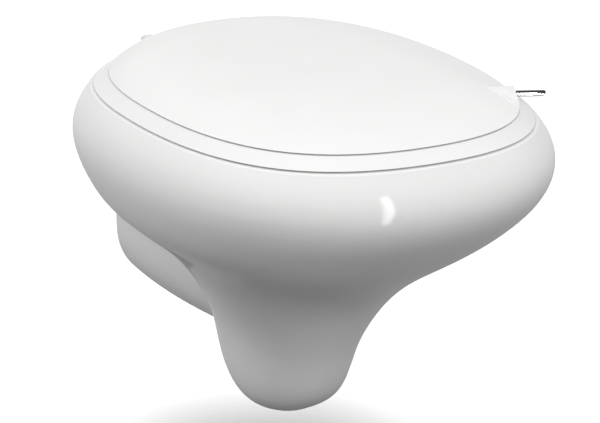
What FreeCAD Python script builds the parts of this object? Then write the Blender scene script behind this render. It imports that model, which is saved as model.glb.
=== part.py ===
import FreeCAD, Part
import Sketcher
import math
import os

# Wall hung toilet. Millimetres, +Z up, front towards -Y, wall plane at y = 0.
# The origin lies on the wall plane, midway between the two fixing studs.

doc = FreeCAD.newDocument("wall_hung_toilet")
sheet = doc.addObject("Spreadsheet::Sheet", "Sizes")

SIZES = [
    # ceramic pan: each section's drop below the one above it, its half width, its front and its back
    ("lip_level", 108.5), ("lip_half", 198.7), ("lip_front", -578.1), ("lip_back", -69.1),
    ("brow_drop", 12.5), ("brow_half", 209.4), ("brow_front", -585.7), ("brow_back", -63.7),
    ("belly_drop", 28), ("belly_half", 219.7), ("belly_front", -594.1), ("belly_back", -53.5),
    ("flank_drop", 38), ("flank_half", 212.4), ("flank_front", -574.7), ("flank_back", -68.2),
    ("under_drop", 30), ("under_half", 194.4), ("under_front", -541.2), ("under_back", -98.3),
    ("keel_drop", 38), ("keel_half", 150.4), ("keel_front", -488.4), ("keel_back", -131.7),
    ("throat_drop", 42), ("throat_half", 110.2), ("throat_front", -427.4), ("throat_back", -163.1),
    ("stem_drop", 45), ("stem_half", 82.9), ("stem_front", -387), ("stem_back", -178.5),
    ("shin_drop", 49), ("shin_half", 68.3), ("shin_front", -358.7), ("shin_back", -186.2),
    ("ankle_drop", 38.1), ("ankle_half", 59.2), ("ankle_front", -339.6), ("ankle_back", -208.9),
    ("sole_drop", 18.6), ("sole_half", 46.8), ("sole_front", -320.4), ("sole_back", -236.5),
    ("heel_drop", 12), ("heel_half", 25.2), ("heel_front", -299.3), ("heel_back", -259.5),
    ("lip_round", 3), ("widest_share", 0.552), ("round_fullness", 0.5523),
    ("nose_fullness", 0.693), ("tail_fullness", 0.647),
    ("ceramic_wall", 12), ("bowl_wall", 9), ("deck_thick", 38.5), ("cutter_past", 1),
    # neck that runs back to the wall, and the ears that the studs go through
    ("neck_wall_half", 80), ("neck_wall_bottom", -190),
    ("neck_mid_y", -105), ("neck_mid_half", 78), ("neck_mid_bottom", -189),
    ("neck_end_y", -218), ("neck_end_half", 54), ("neck_end_bottom", -184),
    ("neck_top", 72), ("neck_shoulder_level", 15), ("neck_corner_level", -116), ("neck_fullness", 0.6),
    ("ear_half", 119), ("ear_widest_level", 5), ("ear_top", 74), ("ear_foot_level", -95),
    ("ear_depth", 45), ("ear_blend", 0.4), ("stud_spacing", 180), ("stud_hole_radius", 7.6),
    # bowl, rim channel and mouth
    ("rim_thick", 14.5), ("channel_depth", 36), ("channel_half", 172), ("channel_front", -545),
    ("channel_back", -130), ("curtain_over", 2), ("curtain_wall", 8), ("shell_lap", 20),
    ("mouth_half", 140), ("mouth_front", -512), ("mouth_back", -168), ("mouth_round", 5),
    ("bowl_high_drop", 38), ("bowl_high_half", 151), ("bowl_high_front", -522), ("bowl_high_back", -152),
    ("bowl_mid_drop", 45), ("bowl_mid_half", 116), ("bowl_mid_front", -475), ("bowl_mid_back", -190),
    ("bowl_low_drop", 50), ("bowl_low_half", 72), ("bowl_low_front", -412), ("bowl_low_back", -240),
    ("sump_drop", 43), ("sump_half", 38), ("sump_front", -356), ("sump_back", -280),
    # trap passage, outlet and inlet
    ("trap_radius", 31), ("trap_wall", 7), ("trap_bend", 40), ("trap_lap", 18), ("trap_leg", 27),
    ("trap_rise", 73), ("outlet_level", -100), ("outlet_radius", 51), ("outlet_bore_radius", 42),
    ("outlet_inset", 8), ("outlet_length", 76),
    ("inlet_level", 35), ("inlet_radius", 27.5), ("inlet_wall", 8), ("inlet_depth", 46),
    ("duct_radius", 17), ("duct_rise", 40), ("duct_reach", 92), ("duct_lap", 4), ("duct_lift", 2),
    ("duct_short", 14),
    # seat ring
    ("seat_gap", 2), ("seat_half", 196.2), ("seat_front", -575.1), ("seat_back", -71.6),
    ("seat_rise", 9.9), ("band_width", 14.6),
    ("hole_half", 118), ("hole_front", -497), ("hole_back", -186), ("hole_round", 4),
    # lid
    ("lid_gap", 1.6), ("lid_step", 0.6), ("lid_rise", 18.9), ("lid_shell", 4),
    ("lid_crown_shift", 155.8), ("lid_curve", 4.9),
    # hinge axis and its parts
    ("axis_behind", 5.5), ("axis_rise", 3.5), ("knuckle_radius", 7.5), ("axle_radius", 3),
    ("axle_clearance", 0.08), ("liner_radius", 5.4), ("liner_clearance", 0.05),
    ("hinge_middle", 66), ("post_width", 9), ("post_gap", 0.5), ("knuckle_width", 18.5),
    ("knuckle_gap", 0.8), ("seat_arm_thick", 7), ("arm_reach", 34), ("knuckle_relief", 0.8),
    ("arm_lap", 14), ("arm_thick", 9), ("arm_gap", 2.2), ("arm_bulge", 1.5),
    ("bolt_beside_post", 11.5), ("plate_length", 42), ("plate_width", 26), ("plate_thick", 3.5),
    ("plate_end_flat", 1), ("hinge_rise", 17), ("notch_margin", 0.5),
    ("gasket_thick", 1), ("gasket_margin", 2), ("bolt_radius", 2.95), ("bolt_hole_radius", 3.3),
    ("bolt_head_radius", 5), ("bolt_head_height", 3.2), ("bolt_length", 31),
    ("key_radius", 2.5), ("key_depth", 2),
    ("washer_radius", 5.6), ("washer_thick", 1), ("sleeve_radius", 5.4), ("sleeve_length", 17),
    ("sleeve_hole_radius", 5.5), ("sleeve_hole_depth", 36), ("cone_height", 7), ("cone_radius", 4.2),
    # wall fixings
    ("liner_wall", 0.9), ("stud_liner_play", 0.1), ("stud_washer_radius", 14),
    ("stud_washer_thick", 2.5), ("nut_flats", 18), ("nut_height", 10), ("nut_bore_radius", 6.1),
    ("spanner_room", 1.5), ("seal_length", 24), ("seal_inset", 2), ("seal_bore_radius", 22.5),
    ("seal_clearance", 0.05),
    # buffers
    ("buffer_radius", 8), ("buffer_pocket", 3), ("buffer_gap", 0.3),
    ("buffer_front_y", -420), ("buffer_rear_y", -215),
    ("cushion_radius", 5), ("cushion_boss_radius", 8), ("cushion_pocket", 2), ("cushion_lift", 0.5),
    # lift pin and the flat boss it stands on: shares run along the lid's front curve from its widest
    ("boss_rear_share", 0.335), ("boss_front_share", 0.45), ("boss_length", 26.5),
    ("boss_rear_high", 9), ("boss_front_high", 3.2), ("boss_inner_high", 7.5),
    ("pin_share", 0.3), ("pin_lift", 4), ("pin_radius", 3.2), ("pin_length", 30.5),
    ("pin_tip_chamfer", 1), ("pin_stem_radius", 1.6), ("pin_stem_length", 12),
    ("insert_radius", 2.8), ("insert_length", 9),
]
for row, (alias, value) in enumerate(SIZES, start=1):
    sheet.set("A%d" % row, alias)
    sheet.set("B%d" % row, str(value))
    sheet.setAlias("B%d" % row, alias)
doc.recompute()


def size(alias):
    """Plain number of one cell of the sheet."""
    return float(sheet.get(alias))


def bind(item, **formulas):
    """Tie properties of an object to cells; names in the formulas are the sheet's aliases."""
    for prop, formula in formulas.items():
        item.setExpression(prop, formula)
    return item


def cell(alias):
    return "Sizes." + alias


# ---------------------------------------------------------------- helpers for free forms


def egg_wire(half, front, back, level, nose=None, tail=None):
    """Closed egg outline of four quarter curves, blunter the higher its fullness."""
    nose = size("nose_fullness") if nose is None else nose
    tail = size("tail_fullness") if tail is None else tail
    widest = front + size("widest_share") * (back - front)
    quarters = []
    for side, tip, fullness in ((1, back, tail), (-1, back, tail), (-1, front, nose), (1, front, nose)):
        reach = tip - widest
        start = [side * half, widest]
        first = [side * half, widest + fullness * reach]
        second = [side * half * fullness, tip]
        end = [0, tip]
        quarters.append([start, first, second, end])
    quarters[1].reverse()
    quarters[3].reverse()
    edges = []
    for poles in quarters:
        curve = Part.BezierCurve()
        curve.setPoles([FreeCAD.Vector(x, y, level) for x, y in poles])
        edges.append(curve.toShape())
    return Part.Wire(edges)


def shape_item(name, shape):
    item = doc.addObject("Part::Feature", name)
    item.Shape = shape
    return item


def loft_item(name, wires, ruled=False):
    """Loft object through wires, each kept as a section object of the document."""
    sections = [shape_item("%s_section_%d" % (name, i), wire) for i, wire in enumerate(wires)]
    loft = doc.addObject("Part::Loft", name)
    loft.Sections = sections
    loft.Solid = True
    loft.Ruled = ruled
    return loft


def egg_block(name, half, front, back, low, high, nose=None, tail=None):
    """Upright block with an egg outline between two levels."""
    outline = shape_item(name + "_outline", egg_wire(half, front, back, low, nose, tail))
    block = doc.addObject("Part::Extrusion", name)
    block.Base = outline
    block.DirMode = "Custom"
    block.Dir = FreeCAD.Vector(0, 0, 1)
    block.LengthFwd = high - low
    block.Solid = True
    return block


def wall_wire(stretches, y):
    """Closed outline parallel to the wall: curve stretches from the top down, and their mirror."""
    edges = []
    mirrored = [[(-x, z) for x, z in reversed(poles)] for poles in reversed(stretches)]
    for poles in stretches + mirrored:
        curve = Part.BezierCurve()
        curve.setPoles([FreeCAD.Vector(x, y, z) for x, z in poles])
        edges.append(curve.toShape())
    return Part.Wire(edges)


def wall_block(name, wire, depth):
    """Solid from an outline in the wall plane, pushed forward by depth."""
    outline = shape_item(name + "_outline", wire)
    block = doc.addObject("Part::Extrusion", name)
    block.Base = outline
    block.DirMode = "Custom"
    block.Dir = FreeCAD.Vector(0, -1, 0)
    block.LengthFwd = depth
    block.Solid = True
    return block


def fuse(name, items):
    item = doc.addObject("Part::MultiFuse", name)
    item.Shapes = items
    return item


def cut(name, base, tool):
    item = doc.addObject("Part::Cut", name)
    item.Base = base
    item.Tool = tool
    return item


def mirror_x(name, source):
    item = doc.addObject("Part::Mirroring", name)
    item.Source = source
    item.Normal = FreeCAD.Vector(1, 0, 0)
    return item


def group(name, items):
    item = doc.addObject("Part::Compound", name)
    item.Links = items
    return item


def upright_cylinder(name, radius, height, x, y, z):
    """Cylinder along +Z, every size and place a formula of the sheet's cells."""
    item = doc.addObject("Part::Cylinder", name)
    item.setExpression("Radius", radius)
    item.setExpression("Height", height)
    item.setExpression("Placement.Base.x", x)
    item.setExpression("Placement.Base.y", y)
    item.setExpression("Placement.Base.z", z)
    return item


def turned(item, axis, angle, x, y, z):
    """Turn an object and tie its place to the sheet."""
    item.Placement = FreeCAD.Placement(FreeCAD.Vector(0, 0, 0), FreeCAD.Rotation(axis, angle))
    item.setExpression("Placement.Base.x", x)
    item.setExpression("Placement.Base.y", y)
    item.setExpression("Placement.Base.z", z)
    return item


UP = FreeCAD.Vector(0, 0, 1)
TIP_TO_X = FreeCAD.Vector(0, 1, 0)
TIP_TO_FRONT = FreeCAD.Vector(1, 0, 0)
QUARTER = 90
NEAR = 0.01


def cross_cylinder(name, radius, length, x, y, z):
    """Cylinder along +X."""
    item = doc.addObject("Part::Cylinder", name)
    item.setExpression("Radius", radius)
    item.setExpression("Height", length)
    return turned(item, TIP_TO_X, QUARTER, x, y, z)


def wall_cylinder(name, radius, length, x, y, z):
    """Cylinder that runs forward from the wall, along -Y."""
    item = doc.addObject("Part::Cylinder", name)
    item.setExpression("Radius", radius)
    item.setExpression("Height", length)
    return turned(item, TIP_TO_FRONT, QUARTER, x, y, z)


nodes = {}


def node(label, item):
    """Name a finished sub-part; its label names its file."""
    item.Label = label
    nodes[label] = item
    return item


# ---------------------------------------------------------------- ceramic pan

STATIONS = ["lip", "brow", "belly", "flank", "under", "keel",
            "throat", "stem", "shin", "ankle", "sole", "heel"]


def station_level(station):
    """Height of a section: the lip's, less every drop down to it."""
    passed = STATIONS[1:STATIONS.index(station) + 1]
    return size("lip_level") - sum(size(name + "_drop") for name in passed)


def station_wire(station, inset=0):
    """One outer section; its nose and its tail get rounder towards the foot."""
    level = station_level(station)
    share = (size("lip_level") - level) / (size("lip_level") - station_level("heel"))
    nose = size("nose_fullness") + share * (size("round_fullness") - size("nose_fullness"))
    tail = size("tail_fullness") + share * (size("round_fullness") - size("tail_fullness"))
    half = size(station + "_half") - inset
    front = size(station + "_front") + inset
    back = size(station + "_back") - inset
    return egg_wire(half, front, back, level, nose, tail)


def raised(wire, level):
    """The same outline at another level."""
    copy = wire.copy()
    copy.translate(FreeCAD.Vector(0, 0, level - wire.BoundBox.ZMin))
    return copy


outer_sharp = loft_item("pan_outer_sharp", [station_wire(s) for s in STATIONS])
doc.recompute()


def rounded(name, item, radius, keep):
    """Fillet of the edges that a test picks out."""
    edges = [(i + 1, radius, radius) for i, edge in enumerate(item.Shape.Edges) if keep(edge.BoundBox)]
    result = doc.addObject("Part::Fillet", name)
    result.Base = item
    result.Edges = edges
    return result


def on_lip(box):
    return box.ZMin > size("lip_level") - NEAR


outer = rounded("pan_outer", outer_sharp, size("lip_round"), on_lip)

NECK_SECTIONS = ("wall", "mid", "end")
neck_places = {"wall": 0, "mid": size("neck_mid_y"), "end": size("neck_end_y")}


def neck_wire(place, inset):
    """Section of the neck across its run: an arched top, upright sides and a U-shaped bottom."""
    y = neck_places[place]
    half = size("neck_%s_half" % place) - inset
    bottom = size("neck_%s_bottom" % place) + inset
    top = size("neck_top") - inset
    shoulder = size("neck_shoulder_level")
    corner = size("neck_corner_level")
    full = size("neck_fullness")
    rise = top - shoulder
    drop = corner - bottom
    arch = [(0, top), (full * half, top), (half, shoulder + full * rise), (half, shoulder)]
    side = [(half, shoulder), (half, corner)]
    turn = [(half, corner), (half, corner - full * drop), (full * half, bottom), (0, bottom)]
    return wall_wire([arch, side, turn], y)


neck = loft_item("pan_neck", [neck_wire(place, 0) for place in NECK_SECTIONS])


def ear_wire():
    """Outline of the wall ears: an arched top that narrows down to the neck."""
    half = size("ear_half")
    top = size("ear_top")
    wide = size("ear_widest_level")
    foot = size("ear_foot_level")
    full = size("nose_fullness")
    arch = [(0, top), (full * half, top), (half, wide + full * (top - wide)), (half, wide)]
    neck_side = size("neck_wall_half")
    blend = size("ear_blend")
    flare = [(half, wide), (half, wide + blend * (foot - wide)),
             (neck_side + blend * (half - neck_side), foot - blend * (foot - wide)), (neck_side, foot)]
    return wall_wire([arch, flare, [(neck_side, foot), (0, foot)]], 0)


ears = wall_block("pan_ears", ear_wire(), size("ear_depth"))

body = fuse("pan_body", [outer, neck, ears])
doc.recompute()

wall = size("ceramic_wall")
inner_stations = ["flank", "under", "keel", "throat", "stem", "shin"]
ceiling = size("lip_level") - size("deck_thick")
inner_wires = [raised(station_wire("flank", wall), ceiling)]
inner_wires += [station_wire(s, wall) for s in inner_stations]
pan_hollow = loft_item("pan_hollow", inner_wires)
neck_hollow = loft_item("neck_hollow", [neck_wire(place, wall) for place in NECK_SECTIONS])
hollow = fuse("hollow", [pan_hollow, neck_hollow])
skin = cut("pan_skin", body, hollow)


BOWL_STEPS = ("bowl_high", "bowl_mid", "bowl_low", "sump")
channel_top = size("lip_level") - size("rim_thick")
channel_bottom = channel_top - size("channel_depth")


def bowl_wires(extra, top):
    """Sections of the bowl, from the rim channel down to the sump, grown by a wall."""
    rows = [(top, "channel"), (channel_bottom, "channel")]
    for name in BOWL_STEPS:
        rows.append((rows[-1][0] - size(name + "_drop"), name))
    wires = []
    for level, name in rows:
        half = size(name + "_half") + extra
        front = size(name + "_front") - extra
        back = size(name + "_back") + extra
        wires.append(egg_wire(half, front, back, level, size("tail_fullness"), size("round_fullness")))
    return wires


bowl_shell = loft_item("bowl_shell", bowl_wires(size("bowl_wall"), channel_bottom + size("shell_lap")))
bowl_room = loft_item("bowl_room", bowl_wires(0, channel_top))

# trap: down from the sump, round the dip, up over the crest and down to the outlet
SUMP_LEVEL = " - ".join(["Sizes.lip_level", "Sizes.rim_thick", "Sizes.channel_depth"]
                        + [cell(name + "_drop") for name in BOWL_STEPS])
FRONT_LEG = "(Sizes.sump_front + Sizes.sump_back) / 2"
sump_level = channel_bottom - sum(size(name + "_drop") for name in BOWL_STEPS)
bend = size("trap_bend")
front_leg = (size("sump_front") + size("sump_back")) / 2
trap_start = sump_level + size("trap_lap")
dip = sump_level - size("trap_leg")
rear_leg = front_leg + 2 * bend
crest_middle_z = dip + size("trap_rise") - bend
crest_middle_y = rear_leg + bend
outlet_start = -size("outlet_inset") - size("outlet_length")
run = outlet_start - crest_middle_y
fall = crest_middle_z - size("outlet_level")
tilt = math.pi / 2 - math.acos(bend / math.hypot(run, fall)) + math.atan2(fall, run)


def trap_point(y, z):
    return FreeCAD.Vector(0, y, z)


top_y = crest_middle_y + bend * math.sin(tilt)
top_z = crest_middle_z + bend * math.cos(tilt)
half_tilt = (math.pi / 2 - tilt) / 2
mid_y = crest_middle_y - bend * math.sin(half_tilt)
mid_z = crest_middle_z + bend * math.cos(half_tilt)
trap_spine = Part.Wire([
    Part.LineSegment(trap_point(front_leg, trap_start), trap_point(front_leg, dip)).toShape(),
    Part.Arc(trap_point(front_leg, dip), trap_point(front_leg + bend, dip - bend),
             trap_point(rear_leg, dip)).toShape(),
    Part.LineSegment(trap_point(rear_leg, dip), trap_point(rear_leg, crest_middle_z)).toShape(),
    Part.Arc(trap_point(rear_leg, crest_middle_z), trap_point(mid_y, mid_z),
             trap_point(top_y, top_z)).toShape(),
    Part.LineSegment(trap_point(top_y, top_z),
                     trap_point(outlet_start, size("outlet_level"))).toShape(),
])
spine_item = shape_item("trap_spine", trap_spine)


def trap_sweep(name, radius):
    """Round pipe along the trap's middle line."""
    ring = doc.addObject("Part::Circle", name + "_ring")
    ring.setExpression("Radius", radius)
    ring.setExpression("Placement.Base.y", FRONT_LEG)
    ring.setExpression("Placement.Base.z", SUMP_LEVEL + " + Sizes.trap_lap")
    pipe = doc.addObject("Part::Sweep", name)
    pipe.Sections = [ring]
    pipe.Spine = (spine_item, ["Edge%d" % (i + 1) for i in range(len(trap_spine.Edges))])
    pipe.Solid = True
    pipe.Frenet = False
    return pipe


trap_pipe = trap_sweep("trap_pipe", "Sizes.trap_radius + Sizes.trap_wall")
trap_bore = trap_sweep("trap_bore", "Sizes.trap_radius")
outlet_pipe = wall_cylinder("outlet_pipe", "Sizes.outlet_radius", "Sizes.outlet_length",
                            "0", "-Sizes.outlet_inset", "Sizes.outlet_level")
outlet_bore = wall_cylinder("outlet_bore", "Sizes.outlet_bore_radius",
                            "Sizes.outlet_length - Sizes.trap_wall + Sizes.cutter_past",
                            "0", "Sizes.cutter_past - Sizes.outlet_inset", "Sizes.outlet_level")

# inlet socket in the wall face and the duct that rises from it to the rim channel
inlet_pipe = wall_cylinder("inlet_pipe", "Sizes.inlet_radius + Sizes.inlet_wall",
                           "Sizes.inlet_depth + Sizes.inlet_wall", "0", "0", "Sizes.inlet_level")
inlet_bore = wall_cylinder("inlet_bore", "Sizes.inlet_radius", "Sizes.inlet_depth + Sizes.cutter_past",
                           "0", "Sizes.cutter_past", "Sizes.inlet_level")
duct_start = FreeCAD.Vector(0, size("duct_lap") - size("inlet_depth"),
                            size("inlet_level") + size("duct_lift"))
duct_way = FreeCAD.Vector(0, -size("duct_reach"), size("duct_rise"))
duct_bore = shape_item("duct_bore", Part.makeCylinder(
    size("duct_radius"), duct_way.Length, duct_start, duct_way))
duct_pipe = shape_item("duct_pipe", Part.makeCylinder(
    size("duct_radius") + size("inlet_wall"), duct_way.Length - size("duct_short"),
    duct_start, duct_way))

filled = fuse("pan_filled", [skin, bowl_shell, trap_pipe, outlet_pipe, inlet_pipe, duct_pipe])

past = size("cutter_past")
curtain_bottom = channel_bottom - size("curtain_over")
curtain = egg_block("rim_curtain", size("mouth_half") + size("curtain_wall"),
                    size("mouth_front") - size("curtain_wall"), size("mouth_back") + size("curtain_wall"),
                    curtain_bottom, channel_top + past)
mouth = egg_block("pan_mouth", size("mouth_half"), size("mouth_front"), size("mouth_back"),
                  curtain_bottom - past, size("lip_level") + past)
under_rim = cut("under_rim", bowl_room, curtain)

# places that the hinges share: their axis, their bolts, and the notch in the rim that they stand in
AXIS_Y = "(Sizes.seat_back + Sizes.axis_behind)"
AXIS_Z = "(Sizes.lip_level + Sizes.axis_rise)"
BOLT_X = "(Sizes.hinge_middle + Sizes.bolt_beside_post)"
NOTCH_FLOOR = "(%s - Sizes.hinge_rise)" % AXIS_Z
NOTCH_HALF = "(%s + Sizes.plate_length / 2 + Sizes.notch_margin)" % BOLT_X
notch = doc.addObject("Part::Box", "hinge_notch")
bind(notch, Length="2 * " + NOTCH_HALF, Width="Sizes.arm_reach - " + AXIS_Y,
     Height="Sizes.lip_level - %s + Sizes.cutter_past" % NOTCH_FLOOR)
notch.setExpression("Placement.Base.x", "-" + NOTCH_HALF)
notch.setExpression("Placement.Base.y", AXIS_Y + " - Sizes.arm_reach")
notch.setExpression("Placement.Base.z", NOTCH_FLOOR)

STUD_X = "Sizes.stud_spacing / 2"
stud_bore = wall_cylinder("stud_bore", "Sizes.stud_hole_radius", "Sizes.ear_depth + 2 * Sizes.cutter_past",
                          STUD_X, "Sizes.cutter_past", "0")
sleeve_bore = upright_cylinder("sleeve_bore", "Sizes.sleeve_hole_radius",
                               "Sizes.sleeve_hole_depth + Sizes.cutter_past",
                               BOLT_X, AXIS_Y, NOTCH_FLOOR + " - Sizes.sleeve_hole_depth")
waterway = fuse("waterway", [under_rim, mouth, trap_bore, outlet_bore, inlet_bore, duct_bore])
washer_room = wall_cylinder("washer_room", "Sizes.stud_washer_radius + Sizes.spanner_room",
                            "Sizes.stud_washer_thick + Sizes.nut_height + 2 * Sizes.spanner_room",
                            STUD_X, "-Sizes.ear_depth", "0")
side_cutters = [washer_room, stud_bore, sleeve_bore]
left_cutters = [mirror_x(tool.Name + "_left", tool) for tool in side_cutters]
drilled = fuse("drilled", side_cutters + left_cutters + [notch])
pan_open = cut("pan_open", filled, waterway)
pan_sharp = cut("pan_sharp", pan_open, drilled)
doc.recompute()


def on_mouth(box):
    level = size("lip_level")
    flat = abs(box.ZMin - level) < NEAR and abs(box.ZMax - level) < NEAR
    inside = max(abs(box.XMin), abs(box.XMax)) < size("mouth_half") + NEAR
    return flat and inside and box.XLength > size("mouth_half") / 2


pan = rounded("pan_solid", pan_sharp, size("mouth_round"), on_mouth)
node("pan", pan)
doc.recompute()

# ---------------------------------------------------------------- helpers for bodies


def new_body(name):
    return doc.addObject("PartDesign::Body", name)


def sketch_in(body, name, role="XY_Plane"):
    """Sketch on one of the body's own origin planes."""
    sketch = body.newObject("Sketcher::SketchObject", name)
    plane = [item for item in body.Origin.OriginFeatures if item.Role == role][0]
    sketch.AttachmentSupport = (plane, "")
    sketch.MapMode = "FlatFace"
    return sketch


def tie(sketch, constraint, formula):
    """Add a constraint and tie it to a formula of the sheet's cells."""
    index = sketch.addConstraint(constraint)
    sketch.setExpression("Constraints[%d]" % index, formula)


def circle_in(sketch, radius, x=None, y=None):
    """Circle about the sketch's origin, or about a point given by two formulas."""
    geo = sketch.addGeometry(Part.Circle(FreeCAD.Vector(0, 0, 0), FreeCAD.Vector(0, 0, 1), 1), False)
    if x is None and y is None:
        sketch.addConstraint(Sketcher.Constraint("Coincident", geo, 3, -1, 1))
    else:
        tie(sketch, Sketcher.Constraint("DistanceX", geo, 3, 1.0), x or "0")
        tie(sketch, Sketcher.Constraint("DistanceY", geo, 3, 1.0), y or "0")
    tie(sketch, Sketcher.Constraint("Radius", geo, 1.0), radius)


def rectangle_in(sketch, left, right, low, high):
    """Upright rectangle whose four sides each lie at a formula."""
    corners = [(-1, -1), (1, -1), (1, 1), (-1, 1)]
    points = [FreeCAD.Vector(x, y, 0) for x, y in corners]
    lines = [sketch.addGeometry(Part.LineSegment(points[i], points[(i + 1) % 4]), False) for i in range(4)]
    for i in range(4):
        sketch.addConstraint(Sketcher.Constraint("Coincident", lines[i], 2, lines[(i + 1) % 4], 1))
    for i in (0, 2):
        sketch.addConstraint(Sketcher.Constraint("Horizontal", lines[i]))
    for i in (1, 3):
        sketch.addConstraint(Sketcher.Constraint("Vertical", lines[i]))
    tie(sketch, Sketcher.Constraint("DistanceX", lines[0], 1, -1.0), left)
    tie(sketch, Sketcher.Constraint("DistanceX", lines[0], 2, 1.0), right)
    tie(sketch, Sketcher.Constraint("DistanceY", lines[0], 1, -1.0), low)
    tie(sketch, Sketcher.Constraint("DistanceY", lines[2], 1, 1.0), high)


def pad_in(body, sketch, name, length, midplane=False):
    pad = body.newObject("PartDesign::Pad", name)
    pad.Profile = sketch
    pad.setExpression("Length", length)
    pad.Midplane = midplane
    return pad


def pocket_in(body, sketch, name):
    """Pocket through the whole body, which has to take material away."""
    doc.recompute()
    before = body.Shape.Volume
    pocket = body.newObject("PartDesign::Pocket", name)
    pocket.Profile = sketch
    pocket.Type = "ThroughAll"
    pocket.Midplane = True
    doc.recompute()
    if body.Shape.Volume >= before:
        raise RuntimeError("%s cuts nothing" % name)
    return pocket


def ring_body(name, outer_radius, inner_radius, length):
    """Plain ring about the body's own Z axis."""
    ring = new_body(name)
    sketch = sketch_in(ring, name + "_section")
    circle_in(sketch, outer_radius)
    circle_in(sketch, inner_radius)
    pad_in(ring, sketch, name + "_pad", length)
    return ring


def lay_along_x(item, x, y, z):
    return turned(item, TIP_TO_X, QUARTER, x, y, z)


def lay_from_wall(item, x, y, z):
    return turned(item, TIP_TO_FRONT, QUARTER, x, y, z)


def stand(item, x, y, z):
    return turned(item, UP, 0, x, y, z)


def pair(name, item):
    """The piece and its mirror on the other side, kept as two solids of one node."""
    return node(name, group(name, [item, mirror_x(name + "_left", item)]))


# ---------------------------------------------------------------- seat ring

SEAT_LOW = "Sizes.lip_level + Sizes.seat_gap"
SEAT_TOP = SEAT_LOW + " + Sizes.seat_rise"
seat_low = size("lip_level") + size("seat_gap")
seat_top = seat_low + size("seat_rise")
band = size("band_width")

seat_disc = loft_item("seat_disc", [
    egg_wire(size("seat_half"), size("seat_front"), size("seat_back"), seat_low),
    egg_wire(size("seat_half") - band, size("seat_front") + band, size("seat_back") - band, seat_top),
], ruled=True)
seat_hole = egg_block("seat_hole", size("hole_half"), size("hole_front"), size("hole_back"),
                      seat_low - past, seat_top + past)
seat_plain = cut("seat_plain", seat_disc, seat_hole)
doc.recompute()


def on_hole(box):
    flat = box.ZLength < NEAR
    reach = max(abs(box.XMin), abs(box.XMax))
    inside = reach <= size("hole_half") + NEAR and box.YMin > size("hole_front") - NEAR
    return flat and inside and box.YMax < size("hole_back") + NEAR


seat_soft = rounded("seat_soft", seat_plain, size("hole_round"), on_hole)

SEAT_KNUCKLE_X = "Sizes.hinge_middle - Sizes.post_width / 2 - Sizes.post_gap - Sizes.knuckle_width"
LID_KNUCKLE_X = SEAT_KNUCKLE_X + " - Sizes.knuckle_gap - Sizes.knuckle_width"
seat_knuckle_x = (size("hinge_middle") - size("post_width") / 2 - size("post_gap")
                  - size("knuckle_width"))
lid_knuckle_x = seat_knuckle_x - size("knuckle_gap") - size("knuckle_width")
axis_y = size("seat_back") + size("axis_behind")
axis_z = size("lip_level") + size("axis_rise")


def barrel(name, edge):
    return cross_cylinder(name, "Sizes.knuckle_radius", "Sizes.knuckle_width", edge,
                          AXIS_Y, AXIS_Z)


def bore(name, edge):
    """Hole right through a knuckle, for its liner."""
    return cross_cylinder(name, "Sizes.liner_radius + Sizes.liner_clearance",
                          "Sizes.knuckle_width + 2 * Sizes.cutter_past",
                          edge + " - Sizes.cutter_past", AXIS_Y, AXIS_Z)


def relief(name, edge):
    """Room in the seat for the lid's knuckle."""
    return cross_cylinder(name, "Sizes.knuckle_radius + Sizes.knuckle_relief",
                          "Sizes.knuckle_width + 2 * Sizes.knuckle_relief",
                          edge + " - Sizes.knuckle_relief", AXIS_Y, AXIS_Z)


seat_arm = doc.addObject("Part::Box", "seat_arm")
bind(seat_arm, Length="Sizes.knuckle_width", Width="Sizes.arm_reach", Height="Sizes.seat_arm_thick")
seat_arm.setExpression("Placement.Base.x", SEAT_KNUCKLE_X)
seat_arm.setExpression("Placement.Base.y", AXIS_Y + " - Sizes.arm_reach")
seat_arm.setExpression("Placement.Base.z", SEAT_LOW)
seat_barrel = barrel("seat_barrel", SEAT_KNUCKLE_X)
seat_bore = bore("seat_bore", SEAT_KNUCKLE_X)
seat_relief = relief("seat_relief", LID_KNUCKLE_X)
seat_whole = fuse("seat_whole", [seat_soft, seat_arm, mirror_x("seat_arm_left", seat_arm),
                                 seat_barrel, mirror_x("seat_barrel_left", seat_barrel)])

BUFFER_X = "(Sizes.hole_half + Sizes.seat_half) / 2"
buffer_places = [(side, y) for side in (1, -1) for y in ("buffer_front_y", "buffer_rear_y")]
pockets = []
seat_buffers = []
for side, y_name in buffer_places:
    tag = ("right_" if side > 0 else "left_") + y_name.split("_")[1]
    x = BUFFER_X if side > 0 else "-" + BUFFER_X
    pockets.append(upright_cylinder("buffer_pocket_" + tag, "Sizes.buffer_radius + Sizes.liner_clearance",
                                    "Sizes.buffer_pocket + Sizes.cutter_past", x, cell(y_name),
                                    SEAT_LOW + " - Sizes.cutter_past"))
    seat_buffers.append(upright_cylinder(
        "seat_buffer_" + tag, "Sizes.buffer_radius",
        "Sizes.seat_gap - Sizes.buffer_gap + Sizes.buffer_pocket", x, cell(y_name),
        "Sizes.lip_level + Sizes.buffer_gap"))
seat_tools = fuse("seat_tools", [seat_bore, mirror_x("seat_bore_left", seat_bore), seat_relief,
                                 mirror_x("seat_relief_left", seat_relief)] + pockets)
node("seat_ring", cut("seat_ring_solid", seat_whole, seat_tools))
node("seat_buffers", group("seat_buffer_set", seat_buffers))

# ---------------------------------------------------------------- lid

lid_low = seat_top + size("lid_gap")
lid_half = size("seat_half") - band - size("lid_step")
lid_front = size("seat_front") + band + size("lid_step")
lid_back = size("seat_back") - band - size("lid_step")
LID_SHARES = (1, 0.965, 0.9, 0.8, 0.65, 0.42, 0.16)


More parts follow.
